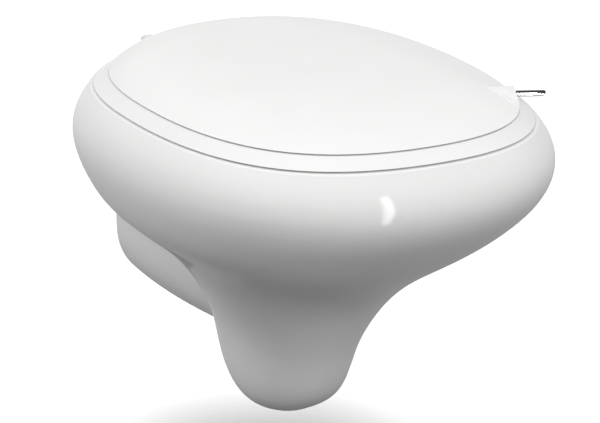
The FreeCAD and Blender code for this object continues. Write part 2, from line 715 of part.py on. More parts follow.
def lid_wire(share, inset, drop):
    """One level line of the dome: it shrinks towards a crown that lies behind the middle."""
    length = lid_back - lid_front - 2 * inset
    middle = lid_front + inset + size("widest_share") * length
    centre = middle + size("lid_crown_shift") * (1 - share)
    front = centre - share * (middle - lid_front - inset)
    back = centre + share * (lid_back - inset - middle)
    level = lid_low - drop + size("lid_rise") * (1 - share ** size("lid_curve"))
    return egg_wire(share * (lid_half - inset), front, back, level)


lid_dome = loft_item("lid_dome", [lid_wire(share, 0, 0) for share in LID_SHARES])
shell = size("lid_shell")
lid_room = loft_item("lid_room", [lid_wire(share, shell, shell) for share in LID_SHARES])

nose_curve = Part.BezierCurve()
nose_curve.setPoles([edge.Curve.getPole(i + 1) for edge in lid_wire(1, 0, 0).Edges[3:] for i in range(4)])
boss_rear = nose_curve.value(1 - size("boss_rear_share"))
boss_front = nose_curve.value(1 - size("boss_front_share"))
pin_way = (boss_front - boss_rear).cross(UP).normalize() * -1
boss_inner = boss_rear - pin_way * size("boss_length")
pin_root = boss_rear + (boss_front - boss_rear) * size("pin_share") + UP * size("pin_lift")

boss_low = [boss_rear, boss_front, boss_inner]
boss_high = [boss_rear + UP * size("boss_rear_high"), boss_front + UP * size("boss_front_high"),
             boss_inner + UP * size("boss_inner_high")]
boss_loops = [boss_low, boss_high]
boss_loops += [[boss_low[i - 1], boss_low[i], boss_high[i], boss_high[i - 1]] for i in range(3)]
boss_faces = [Part.Face(Part.makePolygon(loop + loop[:1])) for loop in boss_loops]
pin_boss = shape_item("pin_boss", Part.Solid(Part.Shell(boss_faces)))

# lid arm: side outline from under the lid's rear edge, over the knuckle and back under
arm_front = lid_back - size("arm_lap")
arm_top = axis_z + size("knuckle_radius")
seat_slope = size("seat_rise") / band
under_z = lid_low - size("lid_gap") + size("arm_gap") - (size("seat_back") - lid_back) * seat_slope


def arm_point(y, z):
    return FreeCAD.Vector(lid_knuckle_x, y, z)


arm_crest = Part.BezierCurve()
arm_crest.setPoles([arm_point(arm_front, lid_low + size("arm_thick")),
                    arm_point(lid_back, lid_low + size("arm_thick") + size("arm_bulge")),
                    arm_point(axis_y - size("knuckle_radius"), arm_top), arm_point(axis_y, arm_top)])
arm_corners = [arm_point(axis_y, arm_top), arm_point(axis_y, axis_z), arm_point(size("seat_back"), under_z),
               arm_point(lid_back, lid_low), arm_point(arm_front, lid_low),
               arm_point(arm_front, lid_low + size("arm_thick"))]
arm_outline = Part.Wire([arm_crest.toShape()]
                        + [Part.makeLine(a, b) for a, b in zip(arm_corners, arm_corners[1:])])
lid_arm = shape_item("lid_arm", Part.Face(arm_outline).extrude(FreeCAD.Vector(size("knuckle_width"), 0, 0)))
lid_barrel = barrel("lid_barrel", LID_KNUCKLE_X)
lid_bore = bore("lid_bore", LID_KNUCKLE_X)

LID_LOW = SEAT_TOP + " + Sizes.lid_gap"
bosses = []
cushion_pockets = []
lid_buffers = []
for side, y_name in buffer_places:
    tag = ("right_" if side > 0 else "left_") + y_name.split("_")[1]
    x = BUFFER_X if side > 0 else "-" + BUFFER_X
    bosses.append(upright_cylinder("cushion_boss_" + tag, "Sizes.cushion_boss_radius",
                                   "Sizes.lid_rise + Sizes.cutter_past",
                                   x, cell(y_name), LID_LOW + " + Sizes.cushion_lift"))
    cushion_pockets.append(upright_cylinder(
        "cushion_pocket_" + tag, "Sizes.cushion_radius + Sizes.liner_clearance",
        "Sizes.cushion_pocket + 2 * Sizes.cushion_lift", x, cell(y_name),
        LID_LOW + " - Sizes.cushion_lift"))
    lid_buffers.append(upright_cylinder(
        "lid_buffer_" + tag, "Sizes.cushion_radius",
        "Sizes.lid_gap - Sizes.buffer_gap + Sizes.cushion_pocket + Sizes.cushion_lift", x, cell(y_name),
        SEAT_TOP + " + Sizes.buffer_gap"))
boss_set = fuse("boss_set", bosses)
boss_trim = doc.addObject("Part::Common", "boss_trim")
boss_trim.Base = boss_set
boss_trim.Tool = lid_dome

lid_hull = cut("lid_hull", lid_dome, lid_room)
lid_joined = fuse("lid_joined", [lid_hull, boss_trim, pin_boss, lid_arm, mirror_x("lid_arm_left", lid_arm),
                                 lid_barrel, mirror_x("lid_barrel_left", lid_barrel)])

insert_hole = shape_item("insert_hole", Part.makeCylinder(
    size("insert_radius") + size("liner_clearance"), size("pin_stem_length") + past,
    pin_root + pin_way * past, pin_way * -1))
lid_tools = fuse("lid_tools", [lid_bore, mirror_x("lid_bore_left", lid_bore), insert_hole]
                 + cushion_pockets)
node("lid", cut("lid_solid", lid_joined, lid_tools))
node("lid_buffers", group("lid_buffer_set", lid_buffers))

# ---------------------------------------------------------------- lift pin

pin = new_body("pin_body")
pin_sketch = sketch_in(pin, "pin_section")
circle_in(pin_sketch, "Sizes.pin_radius")
pad_in(pin, pin_sketch, "pin_shank", "Sizes.pin_length")
stem_sketch = sketch_in(pin, "stem_section")
circle_in(stem_sketch, "Sizes.pin_stem_radius")
stem_sketch.setExpression("AttachmentOffset.Base.z", "-Sizes.pin_stem_length")
pin_stem = pad_in(pin, stem_sketch, "pin_stem", "Sizes.pin_stem_length + Sizes.cutter_past")
doc.recompute()
tip_edge = [i + 1 for i, edge in enumerate(pin.Shape.Edges)
            if edge.BoundBox.ZMin > size("pin_length") - NEAR]
tip = pin.newObject("PartDesign::Chamfer", "pin_tip")
tip.Base = (pin_stem, ["Edge%d" % i for i in tip_edge])
tip.setExpression("Size", "Sizes.pin_tip_chamfer")
pin.Placement = FreeCAD.Placement(pin_root, FreeCAD.Rotation(UP, pin_way))
node("lift_pin", pin)

insert = ring_body("insert_body", "Sizes.insert_radius",
                   "Sizes.pin_stem_radius + Sizes.liner_clearance", "Sizes.insert_length")
insert_start = pin_root - pin_way * (size("insert_length") + size("cushion_lift"))
insert.Placement = FreeCAD.Placement(insert_start, FreeCAD.Rotation(UP, pin_way))
node("pin_insert", insert)

# ---------------------------------------------------------------- hinges

LINER_BORE = "Sizes.axle_radius + Sizes.axle_clearance"


def liner(name, edge, side):
    """Barrel pressed into a knuckle, with the running bore of the axle."""
    start = edge if side > 0 else "-(%s) - Sizes.knuckle_width" % edge
    ring = ring_body(name + "_body", "Sizes.liner_radius", LINER_BORE, "Sizes.knuckle_width")
    return node(name, lay_along_x(ring, start, AXIS_Y, AXIS_Z))


liner("seat_damper", SEAT_KNUCKLE_X, -1)
liner("seat_bush", SEAT_KNUCKLE_X, 1)
liner("lid_damper", LID_KNUCKLE_X, 1)
liner("lid_bush", LID_KNUCKLE_X, -1)

axle = cross_cylinder("axle", "Sizes.axle_radius",
                      "2 * Sizes.knuckle_width + Sizes.knuckle_gap + Sizes.post_gap + Sizes.post_width",
                      LID_KNUCKLE_X, AXIS_Y, AXIS_Z)
node("hinge_pin_right", axle)
node("hinge_pin_left", mirror_x("axle_left", axle))

PLATE_LOW = NOTCH_FLOOR + " + Sizes.gasket_thick"
PLATE_TOP = PLATE_LOW + " + Sizes.plate_thick"


def hinge_base(name, side):
    """Plate on the ceramic with the post that holds the axle."""
    base = new_body(name + "_body")
    sign = "" if side > 0 else "-"
    near = BOLT_X + " - Sizes.plate_length / 2"
    far = BOLT_X + " + Sizes.plate_length / 2"
    left, right = (near, far) if side > 0 else ("-(%s)" % far, "-(%s)" % near)
    plate = sketch_in(base, name + "_plate_outline")
    rectangle_in(plate, left, right, AXIS_Y + " - Sizes.plate_width / 2",
                 AXIS_Y + " + Sizes.plate_width / 2")
    plate.setExpression("AttachmentOffset.Base.z", PLATE_LOW)
    plate_pad = pad_in(base, plate, name + "_plate", "Sizes.plate_thick")
    doc.recompute()
    upright = ["Edge%d" % (i + 1) for i, edge in enumerate(base.Shape.Edges)
               if edge.BoundBox.ZLength > 0.9 * size("plate_thick")]
    corners = base.newObject("PartDesign::Fillet", name + "_corners")
    corners.Base = (plate_pad, upright)
    corners.setExpression("Radius", "Sizes.plate_width / 2 - Sizes.plate_end_flat")
    doc.recompute()
    post = sketch_in(base, name + "_post_outline", "YZ_Plane")
    rectangle_in(post, AXIS_Y + " - Sizes.knuckle_radius", AXIS_Y + " + Sizes.knuckle_radius",
                 PLATE_TOP + " - Sizes.gasket_thick", AXIS_Z)
    post.setExpression("AttachmentOffset.Base.z", sign + "Sizes.hinge_middle")
    pad_in(base, post, name + "_post", "Sizes.post_width", midplane=True)
    crown = sketch_in(base, name + "_crown_outline", "YZ_Plane")
    circle_in(crown, "Sizes.knuckle_radius", AXIS_Y, AXIS_Z)
    crown.setExpression("AttachmentOffset.Base.z", sign + "Sizes.hinge_middle")
    pad_in(base, crown, name + "_crown", "Sizes.post_width", midplane=True)
    axle_hole = sketch_in(base, name + "_axle_hole_outline", "YZ_Plane")
    circle_in(axle_hole, "Sizes.axle_radius + Sizes.liner_clearance", AXIS_Y,
              AXIS_Z)
    pocket_in(base, axle_hole, name + "_axle_hole")
    bolt_hole = sketch_in(base, name + "_bolt_hole_outline")
    circle_in(bolt_hole, "Sizes.bolt_hole_radius", sign + BOLT_X, AXIS_Y)
    pocket_in(base, bolt_hole, name + "_bolt_hole")
    return node(name, base)


hinge_base("hinge_base_right", 1)
hinge_base("hinge_base_left", -1)

gasket = new_body("gasket_body")
gasket_sketch = sketch_in(gasket, "gasket_outline")
GASKET_HALF_LENGTH = "Sizes.plate_length / 2 - Sizes.gasket_margin"
GASKET_HALF_WIDTH = "Sizes.plate_width / 2 - Sizes.gasket_margin"
rectangle_in(gasket_sketch, "-(%s)" % GASKET_HALF_LENGTH, GASKET_HALF_LENGTH,
             "-(%s)" % GASKET_HALF_WIDTH, GASKET_HALF_WIDTH)
circle_in(gasket_sketch, "Sizes.bolt_hole_radius")
pad_in(gasket, gasket_sketch, "gasket_pad", "Sizes.gasket_thick")
pair("hinge_gaskets", stand(gasket, BOLT_X, AXIS_Y, NOTCH_FLOOR))

washer = ring_body("hinge_washer_body", "Sizes.washer_radius", "Sizes.bolt_hole_radius",
                   "Sizes.washer_thick")
pair("hinge_washers", stand(washer, BOLT_X, AXIS_Y, PLATE_TOP))

bolt_head = upright_cylinder("bolt_head", "Sizes.bolt_head_radius", "Sizes.bolt_head_height",
                             BOLT_X, AXIS_Y, PLATE_TOP + " + Sizes.washer_thick")
bolt_shank = upright_cylinder("bolt_shank", "Sizes.bolt_radius", "Sizes.bolt_length + Sizes.cutter_past",
                              BOLT_X, AXIS_Y,
                              PLATE_TOP + " + Sizes.washer_thick - Sizes.bolt_length")
bolt_whole = fuse("bolt_whole", [bolt_head, bolt_shank])
socket = doc.addObject("Part::Prism", "key_socket")
socket.Polygon = 6
bind(socket, Circumradius="Sizes.key_radius", Height="Sizes.key_depth + Sizes.cutter_past")
stand(socket, BOLT_X, AXIS_Y,
      PLATE_TOP + " + Sizes.washer_thick + Sizes.bolt_head_height - Sizes.key_depth")
pair("hinge_bolts", cut("hinge_bolt", bolt_whole, socket))

sleeve = ring_body("hinge_sleeve_body", "Sizes.sleeve_radius", "Sizes.bolt_hole_radius",
                   "Sizes.sleeve_length")
pair("hinge_sleeves", stand(sleeve, BOLT_X, AXIS_Y,
                            NOTCH_FLOOR + " - Sizes.sleeve_length"))
CONE_LOW = NOTCH_FLOOR + " - Sizes.sleeve_length - Sizes.cone_height"
cone = doc.addObject("Part::Cone", "cone_blank")
bind(cone, Radius1="Sizes.sleeve_radius", Radius2="Sizes.cone_radius", Height="Sizes.cone_height")
stand(cone, BOLT_X, AXIS_Y, CONE_LOW)
cone_hole = upright_cylinder("cone_hole", "Sizes.bolt_radius + Sizes.liner_clearance",
                             "Sizes.cone_height + 2 * Sizes.cutter_past", BOLT_X, AXIS_Y,
                             CONE_LOW + " - Sizes.cutter_past")
pair("hinge_cones", cut("hinge_cone", cone, cone_hole))

# ---------------------------------------------------------------- wall fixings and flush seal

LINER_OUTER = "Sizes.stud_hole_radius - Sizes.stud_liner_play"
LINER_INNER = LINER_OUTER + " - Sizes.liner_wall"
liner_tube = ring_body("stud_liner_body", LINER_OUTER, LINER_INNER, "Sizes.ear_depth")
pair("fixing_sleeves", lay_from_wall(liner_tube, STUD_X, "0", "0"))
stud_washer = ring_body("stud_washer_body", "Sizes.stud_washer_radius", LINER_INNER,
                        "Sizes.stud_washer_thick")
pair("fixing_washers", lay_from_wall(stud_washer, STUD_X, "-Sizes.ear_depth", "0"))
NUT_Y = "-Sizes.ear_depth - Sizes.stud_washer_thick"
nut_blank = doc.addObject("Part::Prism", "nut_blank")
nut_blank.Polygon = 6
bind(nut_blank, Circumradius="Sizes.nut_flats / sqrt(3)", Height="Sizes.nut_height")
lay_from_wall(nut_blank, STUD_X, NUT_Y, "0")
nut_hole = wall_cylinder("nut_hole", "Sizes.nut_bore_radius", "Sizes.nut_height + 2 * Sizes.cutter_past",
                         STUD_X, NUT_Y + " + Sizes.cutter_past", "0")
pair("fixing_nuts", cut("fixing_nut", nut_blank, nut_hole))

seal_body = ring_body("inlet_seal_body", "Sizes.inlet_radius - Sizes.seal_clearance",
                      "Sizes.seal_bore_radius", "Sizes.seal_length")
node("inlet_seal", lay_from_wall(seal_body, "0", "-Sizes.seal_inset", "Sizes.inlet_level"))
doc.recompute()

# ---------------------------------------------------------------- write the files

os.makedirs("parts", exist_ok=True)
bad = [item.Name for item in doc.Objects if {"Invalid", "Error"} & set(item.State)]
if bad:
    raise RuntimeError("objects that failed: %s" % ", ".join(bad))
for label, item in nodes.items():
    if item.Shape.isNull() or not item.Shape.isValid():
        raise RuntimeError("shape of %s is null or not valid" % label)
    item.Shape.exportStep("parts/%s.step" % label)
print("written", len(nodes), "nodes")
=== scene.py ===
import math

import bpy
from mathutils import Euler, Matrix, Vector


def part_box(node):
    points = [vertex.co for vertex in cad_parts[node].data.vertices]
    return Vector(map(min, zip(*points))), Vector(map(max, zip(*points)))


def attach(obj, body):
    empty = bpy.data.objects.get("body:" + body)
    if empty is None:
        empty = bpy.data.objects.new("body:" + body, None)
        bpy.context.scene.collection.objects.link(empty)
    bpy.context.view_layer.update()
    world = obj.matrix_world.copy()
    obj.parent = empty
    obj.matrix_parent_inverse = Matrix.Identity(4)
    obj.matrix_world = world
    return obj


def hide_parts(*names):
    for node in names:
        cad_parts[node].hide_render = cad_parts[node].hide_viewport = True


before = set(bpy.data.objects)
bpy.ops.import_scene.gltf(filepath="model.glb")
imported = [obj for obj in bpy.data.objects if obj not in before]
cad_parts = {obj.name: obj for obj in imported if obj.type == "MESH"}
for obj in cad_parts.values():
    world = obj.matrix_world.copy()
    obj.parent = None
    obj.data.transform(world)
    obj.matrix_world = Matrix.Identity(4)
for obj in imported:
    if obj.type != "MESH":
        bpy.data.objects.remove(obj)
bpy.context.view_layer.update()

bl_info = {
    "name": "Wall Hung Toilet",
    "version": (1, 0, 0),
    "blender": (4, 5, 0),
    "location": "View3D > Sidebar > Toilet",
    "description": "Finishes and small fittings of a wall hung toilet, set on its measured frame",
    "category": "Object",
}


# ---------------------------------------------------------------- settings


class ToiletFinish(bpy.types.PropertyGroup):
    """Colours and gloss that a user would change."""

    glaze: bpy.props.FloatVectorProperty(
        name="Glaze", description="White of the glazed china", subtype="COLOR", size=3,
        min=0, max=1, default=(0.885, 0.885, 0.88))
    seat: bpy.props.FloatVectorProperty(
        name="Seat plastic", description="White of the seat ring and the lid", subtype="COLOR", size=3,
        min=0, max=1, default=(0.88, 0.88, 0.875))
    biscuit: bpy.props.FloatVectorProperty(
        name="Bare china", description="Ground face that stands against the wall", subtype="COLOR", size=3,
        min=0, max=1, default=(0.74, 0.71, 0.65))
    gloss: bpy.props.FloatProperty(
        name="Glaze roughness", description="Roughness of the glaze", min=0, max=1, subtype="FACTOR",
        default=0.06)


class ToiletPin(bpy.types.PropertyGroup):
    """Sizes of the lift pin and of the flat facet that it stands beside."""

    radius: bpy.props.FloatProperty(
        name="Radius", description="Radius of the pin's shank", unit="LENGTH", default=0.0032)
    length: bpy.props.FloatProperty(
        name="Length", description="From the lid to the tip of the pin", unit="LENGTH", default=0.0305)
    stem_radius: bpy.props.FloatProperty(
        name="Stem radius", description="Radius of the stem inside the lid", unit="LENGTH", default=0.0016)
    stem_length: bpy.props.FloatProperty(
        name="Stem length", description="Length of the stem inside the lid", unit="LENGTH", default=0.012)
    edge: bpy.props.FloatProperty(
        name="Edge", description="Chamfer at the foot of the shank", unit="LENGTH", default=0.0003)
    nose: bpy.props.FloatProperty(
        name="Nose", description="Length of the rounded tip", unit="LENGTH", default=0.0021)
    groove_place: bpy.props.FloatProperty(
        name="Groove place", description="From the tip to the ring groove", unit="LENGTH", default=0.0029)
    groove_width: bpy.props.FloatProperty(
        name="Groove width", description="Width of the ring groove", unit="LENGTH", default=0.0005)
    groove_depth: bpy.props.FloatProperty(
        name="Groove depth", description="Depth of the ring groove", unit="LENGTH", default=0.00025)
    facet_thick: bpy.props.FloatProperty(
        name="Facet thickness", description="Thickness of the bright facet on the boss", unit="LENGTH",
        default=0.0004)


class ToiletStage(bpy.types.PropertyGroup):
    """Camera and floor of the stage."""

    azimuth: bpy.props.FloatProperty(
        name="Azimuth", description="Turn of the camera about the upright axis", subtype="ANGLE",
        default=math.radians(-27))
    elevation: bpy.props.FloatProperty(
        name="Elevation", description="Height of the camera above the seat, as an angle", subtype="ANGLE",
        default=math.radians(16.12))
    distance: bpy.props.FloatProperty(
        name="Distance", description="From the camera to the middle of the seat", unit="LENGTH",
        default=2.5)
    lens: bpy.props.FloatProperty(
        name="Lens", description="Focal length in mm on a 36 mm sensor", unit="CAMERA", default=148.0)
    lowered: bpy.props.FloatProperty(
        name="Pitch", description="How far the camera looks below the middle of the seat",
        subtype="ANGLE", default=math.radians(2.83))
    floor_drop: bpy.props.FloatProperty(
        name="Floor", description="Depth of the floor below the wall studs", unit="LENGTH", default=0.335)
    floor_width: bpy.props.FloatProperty(
        name="Floor width", description="Side of the square floor", unit="LENGTH", default=24.0)


# ---------------------------------------------------------------- small tools


CREASE = math.radians(32)


def use_only(obj):
    """Make an object the only selected one, and the active one."""
    bpy.ops.object.select_all(action="DESELECT")
    obj.select_set(True)
    bpy.context.view_layer.objects.active = obj
    return obj


def new_plane(name, size, place):
    """Flat square with its place in its mesh."""
    bpy.ops.object.select_all(action="DESELECT")
    bpy.ops.mesh.primitive_plane_add(size=size, location=place)
    plane = bpy.context.object
    plane.name = name
    use_only(plane)
    bpy.ops.object.transform_apply(location=True, rotation=True, scale=True)
    return plane


def turned_piece(name, profile, sides, start, way):
    """Surface of revolution through (place along the axis, radius) pairs, laid along a direction."""
    bpy.ops.object.select_all(action="DESELECT")
    bpy.ops.mesh.primitive_circle_add(vertices=sides, radius=profile[0][1], fill_type="NGON",
                                      location=(0, 0, profile[0][0]))
    piece = bpy.context.object
    piece.name = name
    use_only(piece)
    bpy.ops.object.mode_set(mode="EDIT")
    bpy.ops.mesh.select_all(action="SELECT")
    for (before, wide), (place, radius) in zip(profile, profile[1:]):
        bpy.ops.mesh.extrude_region_move(TRANSFORM_OT_translate={"value": (0, 0, place - before)})
        bpy.ops.transform.resize(value=(radius / wide, radius / wide, 1))
    bpy.ops.mesh.select_all(action="SELECT")
    bpy.ops.mesh.normals_make_consistent(inside=False)
    bpy.ops.object.mode_set(mode="OBJECT")
    piece.rotation_euler = way.to_track_quat("Z", "Y").to_euler()
    piece.location = start + way * profile[0][0]
    bpy.ops.object.transform_apply(location=True, rotation=True, scale=True)
    return piece


def smooth(piece):
    """Smooth shading up to the crease angle."""
    use_only(piece)
    bpy.ops.object.shade_smooth_by_angle(angle=CREASE)


def paint(obj, material):
    """Give every slot of an object one material."""
    if not obj.material_slots:
        obj.data.materials.append(material)
    for slot in obj.material_slots:
        slot.material = material


# ---------------------------------------------------------------- node groups


# most values of a noise lie in this span
NOISE_SPAN = (0.3, 0.7)

# how fine the patches of brighter and duller gloss are
GLOSS_PATCH_SCALE = 85.0


def group_socket(group, name, kind, into, default=None):
    """Named input or output of a node group."""
    socket = group.interface.new_socket(name=name, in_out="INPUT" if into else "OUTPUT", socket_type=kind)
    if default is not None:
        socket.default_value = default
    return socket


def noise_in(tree, vector, scale, detail):
    """Noise over a place, at a scale given by a number or a socket."""
    noise = tree.nodes.new("ShaderNodeTexNoise")
    noise.inputs["Detail"].default_value = detail
    tree.links.new(vector, noise.inputs["Vector"])
    set_or_link(tree, noise.inputs["Scale"], scale)
    return noise.outputs["Fac"]


def set_or_link(tree, socket, value):
    """Give an input a number, or link another socket to it."""
    if isinstance(value, (int, float)):
        socket.default_value = value
    else:
        tree.links.new(value, socket)


def map_range(tree, value, span, low=0.0, high=1.0):
    """Map a value's span onto a range whose ends are numbers or sockets."""
    remap = tree.nodes.new("ShaderNodeMapRange")
    remap.inputs["From Min"].default_value = span[0]
    remap.inputs["From Max"].default_value = span[1]
    tree.links.new(value, remap.inputs["Value"])
    set_or_link(tree, remap.inputs["To Min"], low)
    set_or_link(tree, remap.inputs["To Max"], high)
    return remap.outputs["Result"]


def mottle_group():
    """Slow change of tone between two colours, and a finer change of roughness."""
    if "Mottle" in bpy.data.node_groups:
        return bpy.data.node_groups["Mottle"]
    tree = bpy.data.node_groups.new("Mottle", "ShaderNodeTree")
    group_socket(tree, "Light", "NodeSocketColor", True, (0.9, 0.9, 0.9, 1))
    group_socket(tree, "Dark", "NodeSocketColor", True, (0.8, 0.8, 0.8, 1))
    group_socket(tree, "Scale", "NodeSocketFloat", True, 12.0)
    group_socket(tree, "Smooth", "NodeSocketFloat", True, 0.05)
    group_socket(tree, "Rough", "NodeSocketFloat", True, 0.1)
    group_socket(tree, "Color", "NodeSocketColor", False)
    group_socket(tree, "Roughness", "NodeSocketFloat", False)
    start = tree.nodes.new("NodeGroupInput")
    end = tree.nodes.new("NodeGroupOutput")
    place = tree.nodes.new("ShaderNodeTexCoord").outputs["Object"]
    slow = noise_in(tree, place, start.outputs["Scale"], detail=3.0)
    mix = tree.nodes.new("ShaderNodeMix")
    mix.data_type = "RGBA"
    tree.links.new(map_range(tree, slow, NOISE_SPAN), mix.inputs["Factor"])
    tree.links.new(start.outputs["Dark"], mix.inputs["A"])
    tree.links.new(start.outputs["Light"], mix.inputs["B"])
    tree.links.new(mix.outputs["Result"], end.inputs["Color"])
    fine = noise_in(tree, place, GLOSS_PATCH_SCALE, detail=4.0)
    gloss = map_range(tree, fine, NOISE_SPAN, start.outputs["Smooth"], start.outputs["Rough"])
    tree.links.new(gloss, end.inputs["Roughness"])
    return tree


def ripple_group():
    """Height of a poured or moulded surface: slow waves with a fine grain on them."""
    if "Ripple" in bpy.data.node_groups:
        return bpy.data.node_groups["Ripple"]
    tree = bpy.data.node_groups.new("Ripple", "ShaderNodeTree")
    group_socket(tree, "Wave Scale", "NodeSocketFloat", True, 20.0)
    group_socket(tree, "Grain Scale", "NodeSocketFloat", True, 600.0)
    group_socket(tree, "Grain Share", "NodeSocketFloat", True, 0.1)
    group_socket(tree, "Height", "NodeSocketFloat", False)
    start = tree.nodes.new("NodeGroupInput")
    end = tree.nodes.new("NodeGroupOutput")
    place = tree.nodes.new("ShaderNodeTexCoord").outputs["Object"]
    waves = noise_in(tree, place, start.outputs["Wave Scale"], detail=1.0)
    grain = noise_in(tree, place, start.outputs["Grain Scale"], detail=2.0)
    weigh = tree.nodes.new("ShaderNodeMath")
    weigh.operation = "MULTIPLY"
    tree.links.new(grain, weigh.inputs[0])
    tree.links.new(start.outputs["Grain Share"], weigh.inputs[1])
    add = tree.nodes.new("ShaderNodeMath")
    add.operation = "ADD"
    tree.links.new(waves, add.inputs[0])
    tree.links.new(weigh.outputs[0], add.inputs[1])
    tree.links.new(add.outputs[0], end.inputs["Height"])
    return tree


def brushed_group():
    """Fine lines across the most stretched axis, for turned and brushed metal."""
    if "Brushed" in bpy.data.node_groups:
        return bpy.data.node_groups["Brushed"]
    tree = bpy.data.node_groups.new("Brushed", "ShaderNodeTree")
    group_socket(tree, "Stretch", "NodeSocketVector", True, (1.0, 1.0, 30.0))
    group_socket(tree, "Scale", "NodeSocketFloat", True, 300.0)
    group_socket(tree, "Smooth", "NodeSocketFloat", True, 0.2)
    group_socket(tree, "Rough", "NodeSocketFloat", True, 0.4)
    group_socket(tree, "Roughness", "NodeSocketFloat", False)
    group_socket(tree, "Height", "NodeSocketFloat", False)
    start = tree.nodes.new("NodeGroupInput")
    end = tree.nodes.new("NodeGroupOutput")
    place = tree.nodes.new("ShaderNodeTexCoord").outputs["Object"]
    scale = tree.nodes.new("ShaderNodeVectorMath")
    scale.operation = "MULTIPLY"
    tree.links.new(place, scale.inputs[0])
    tree.links.new(start.outputs["Stretch"], scale.inputs[1])
    lines = noise_in(tree, scale.outputs["Vector"], start.outputs["Scale"], detail=2.0)
    gloss = map_range(tree, lines, NOISE_SPAN, start.outputs["Smooth"], start.outputs["Rough"])
    tree.links.new(gloss, end.inputs["Roughness"])
    tree.links.new(lines, end.inputs["Height"])
    return tree


def add_group(tree, group, **values):
    """Place a group in a material; an underscore in an input's name stands for its space."""
    node = tree.nodes.new("ShaderNodeGroup")
    node.node_tree = group
    for name, value in values.items():
        node.inputs[name.replace("_", " ")].default_value = value
    return node


# ---------------------------------------------------------------- materials


# share of a colour that is left in its darker patches
PATCH_SHARE = 0.985
METAL_PATCH_SHARE = 0.93

# along Y, where the glaze ends and the ground face begins
WALL_BAND = (-0.0012, -0.0006)
BISCUIT_ROUGHNESS = 0.75
GLOSS_CHANGE = 0.03
COAT = 0.14

# depths of relief, in metres
GLAZE_RELIEF = 0.00018
SKIN_RELIEF = 0.00006
BUFFER_RELIEF = 0.00003
BRUSH_RELIEF = 0.000004


def new_material(name):
    """Empty material with its principled shader, ready for textures."""
    material = bpy.data.materials.new(name)
    material.use_nodes = True
    tree = material.node_tree
    return material, tree, tree.nodes["Principled BSDF"]


def opaque(color, share=1.0):
    """A share of a colour, with full alpha."""
    return tuple(c * share for c in color) + (1.0,)


def bump(tree, shader, height, depth):
    """Fine relief of the given depth."""
    node = tree.nodes.new("ShaderNodeBump")
    node.inputs["Distance"].default_value = depth
    tree.links.new(height, node.inputs["Height"])
    tree.links.new(node.outputs["Normal"], shader.inputs["Normal"])


def clear_coat(shader, weight, roughness):
    """Gloss from a thin clear coat alone, which stays faint where a surface is seen edge-on."""
    shader.inputs["Specular IOR Level"].default_value = 0.0
    shader.inputs["Coat Weight"].default_value = weight
    shader.inputs["Coat Roughness"].default_value = roughness


def wall_mask(tree):
    """1 on the face against the wall, 0 on the glaze."""
    place = tree.nodes.new("ShaderNodeSeparateXYZ")
    tree.links.new(tree.nodes.new("ShaderNodeTexCoord").outputs["Object"], place.inputs["Vector"])
    return map_range(tree, place.outputs["Y"], WALL_BAND)


def glazed_china(finish):
    """White glaze, with bare ground china on the wall face."""
    material, tree, shader = new_material("glazed_china")
    tone = add_group(tree, mottle_group(), Light=opaque(finish.glaze), Dark=opaque(finish.glaze, PATCH_SHARE),
                     Scale=9.0, Smooth=finish.gloss, Rough=finish.gloss + GLOSS_CHANGE)
    at_wall = wall_mask(tree)
    bare = tree.nodes.new("ShaderNodeMix")
    bare.data_type = "RGBA"
    bare.inputs["B"].default_value = opaque(finish.biscuit)
    tree.links.new(at_wall, bare.inputs["Factor"])
    tree.links.new(tone.outputs["Color"], bare.inputs["A"])
    tree.links.new(bare.outputs["Result"], shader.inputs["Base Color"])
    rough = map_range(tree, at_wall, (0.0, 1.0), tone.outputs["Roughness"], BISCUIT_ROUGHNESS)
    tree.links.new(rough, shader.inputs["Roughness"])
    clear_coat(shader, COAT, finish.gloss)
    ripple = add_group(tree, ripple_group(), Wave_Scale=14.0, Grain_Scale=240.0, Grain_Share=0.03)
    bump(tree, shader, ripple.outputs["Height"], GLAZE_RELIEF)
    return material


def moulded(name, color, smooth, rough, depth=SKIN_RELIEF, dark=PATCH_SHARE, coat=0.0):
    """Moulded plastic or rubber with a soft tone change and a fine skin."""
    material, tree, shader = new_material(name)
    tone = add_group(tree, mottle_group(), Light=opaque(color), Dark=opaque(color, dark), Scale=16.0,
                     Smooth=smooth, Rough=rough)
    tree.links.new(tone.outputs["Color"], shader.inputs["Base Color"])
    tree.links.new(tone.outputs["Roughness"], shader.inputs["Roughness"])
    if coat:
        clear_coat(shader, coat, smooth)
    skin = add_group(tree, ripple_group(), Wave_Scale=30.0, Grain_Scale=900.0, Grain_Share=0.2)
    bump(tree, shader, skin.outputs["Height"], depth)
    return material


def metal(name, color, smooth, rough, stretch, scale=300.0):
    """Turned or brushed metal; the lines run across the stretched axis."""
    material, tree, shader = new_material(name)
    tone = add_group(tree, mottle_group(), Light=opaque(color), Dark=opaque(color, METAL_PATCH_SHARE),
                     Scale=60.0)
    lines = add_group(tree, brushed_group(), Stretch=stretch, Scale=scale, Smooth=smooth, Rough=rough)
    tree.links.new(tone.outputs["Color"], shader.inputs["Base Color"])
    tree.links.new(lines.outputs["Roughness"], shader.inputs["Roughness"])
    shader.inputs["Metallic"].default_value = 1.0
    bump(tree, shader, lines.outputs["Height"], BRUSH_RELIEF)
    return material


# ---------------------------------------------------------------- operators


class TOILET_OT_china(bpy.types.Operator):
    """Glaze the pan"""

    bl_idname = "toilet.china"
    bl_label = "Glaze the pan"

    def execute(self, context):
        paint(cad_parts["pan"], glazed_china(context.scene.toilet_finish))
        return {"FINISHED"}


